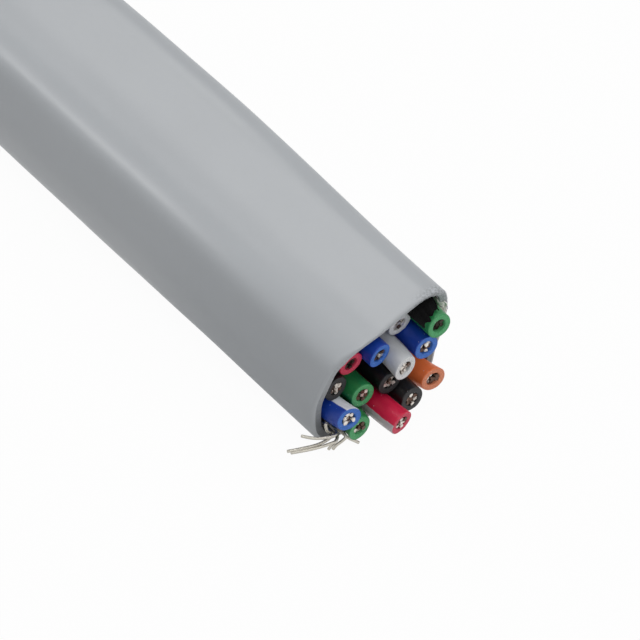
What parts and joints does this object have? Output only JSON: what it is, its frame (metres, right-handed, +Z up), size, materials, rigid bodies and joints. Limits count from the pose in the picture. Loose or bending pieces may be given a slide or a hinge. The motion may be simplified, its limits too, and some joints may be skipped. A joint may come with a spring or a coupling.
{
  "type": "multiconductor cable",
  "caption": "Cut length of grey jacketed shielded cable, pressed out of round, with coloured stranded wires and a frayed drain wire standing out of one end.",
  "frame": {"origin": "middle of the jacket's flat underside, at mid length", "axes": "+X along the cable towards the cut end with the bare wires, +Y to the right as that end is faced, +Z up"},
  "size_m": [0.0623, 0.0107, 0.0069],
  "materials": {
    "jacket": "satin",
    "foil": "bright film",
    "tinned_strand": "tinned",
    "insulation_white": "satin",
    "insulation_blue": "satin",
    "insulation_green": "satin",
    "insulation_orange": "satin",
    "insulation_black": "satin",
    "insulation_red": "satin"
  },
  "bodies": {
    "root": {"jacket": "jacket", "foil_shield": "foil", "drain_wire": "tinned_strand", "white_upper_insulation": "insulation_white", "white_upper_conductor": "tinned_strand", "white_middle_insulation": "insulation_white", "white_middle_conductor": "tinned_strand", "blue_right_insulation": "insulation_blue", "blue_right_conductor": "tinned_strand", "blue_middle_insulation": "insulation_blue", "blue_middle_conductor": "tinned_strand", "blue_striped_insulation": "insulation_blue", "blue_striped_conductor": "tinned_strand", "green_right_insulation": "insulation_green", "green_right_conductor": "tinned_strand", "green_middle_insulation": "insulation_green", "green_middle_conductor": "tinned_strand", "green_lower_insulation": "insulation_green", "green_lower_conductor": "tinned_strand", "orange_insulation": "insulation_orange", "orange_conductor": "tinned_strand", "orange_inner_insulation": "insulation_orange", "orange_inner_conductor": "tinned_strand", "black_middle_insulation": "insulation_black", "black_middle_conductor": "tinned_strand", "black_right_insulation": "insulation_black", "black_right_conductor": "tinned_strand", "black_left_insulation": "insulation_black", "black_left_conductor": "tinned_strand", "red_upper_insulation": "insulation_red", "red_upper_conductor": "tinned_strand", "red_striped_insulation": "insulation_red", "red_striped_conductor": "tinned_strand"}
  },
  "joints": []
}
